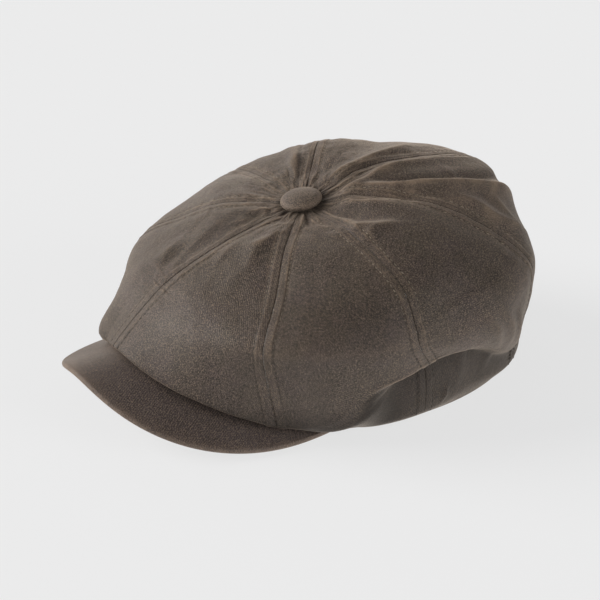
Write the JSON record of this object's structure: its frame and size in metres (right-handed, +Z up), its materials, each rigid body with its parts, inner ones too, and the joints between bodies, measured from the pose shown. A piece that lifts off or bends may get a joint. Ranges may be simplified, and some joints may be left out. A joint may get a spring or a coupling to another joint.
{
  "type": "waxed cotton newsboy cap",
  "caption": "Round panelled newsboy cap of waxed cotton with a covered top button, a full overhanging crown and a short stiff arched peak.",
  "frame": {"origin": "on the surface under the middle of the cap's footprint", "axes": "the peak points to -Y, the wearer's left is +X, +Z is up"},
  "size_m": [0.2098, 0.2754, 0.1138],
  "materials": {
    "crown_cloth": "waxed cotton, dark olive brown, semi-matt with worn paler folds",
    "button_cloth": "waxed cotton stretched over a button, semi-matt",
    "peak_cloth": "waxed cotton over a stiff board, dark brown, semi-matt"
  },
  "bodies": {
    "root": {"crown_panel_front_left": "crown_cloth", "crown_panel_left_front": "crown_cloth", "crown_panel_left_back": "crown_cloth", "crown_panel_back_left": "crown_cloth", "crown_panel_back_right": "crown_cloth", "crown_panel_right_back": "crown_cloth", "crown_panel_right_front": "crown_cloth", "crown_panel_front_right": "crown_cloth", "button": "button_cloth", "peak": "peak_cloth"}
  },
  "joints": []
}
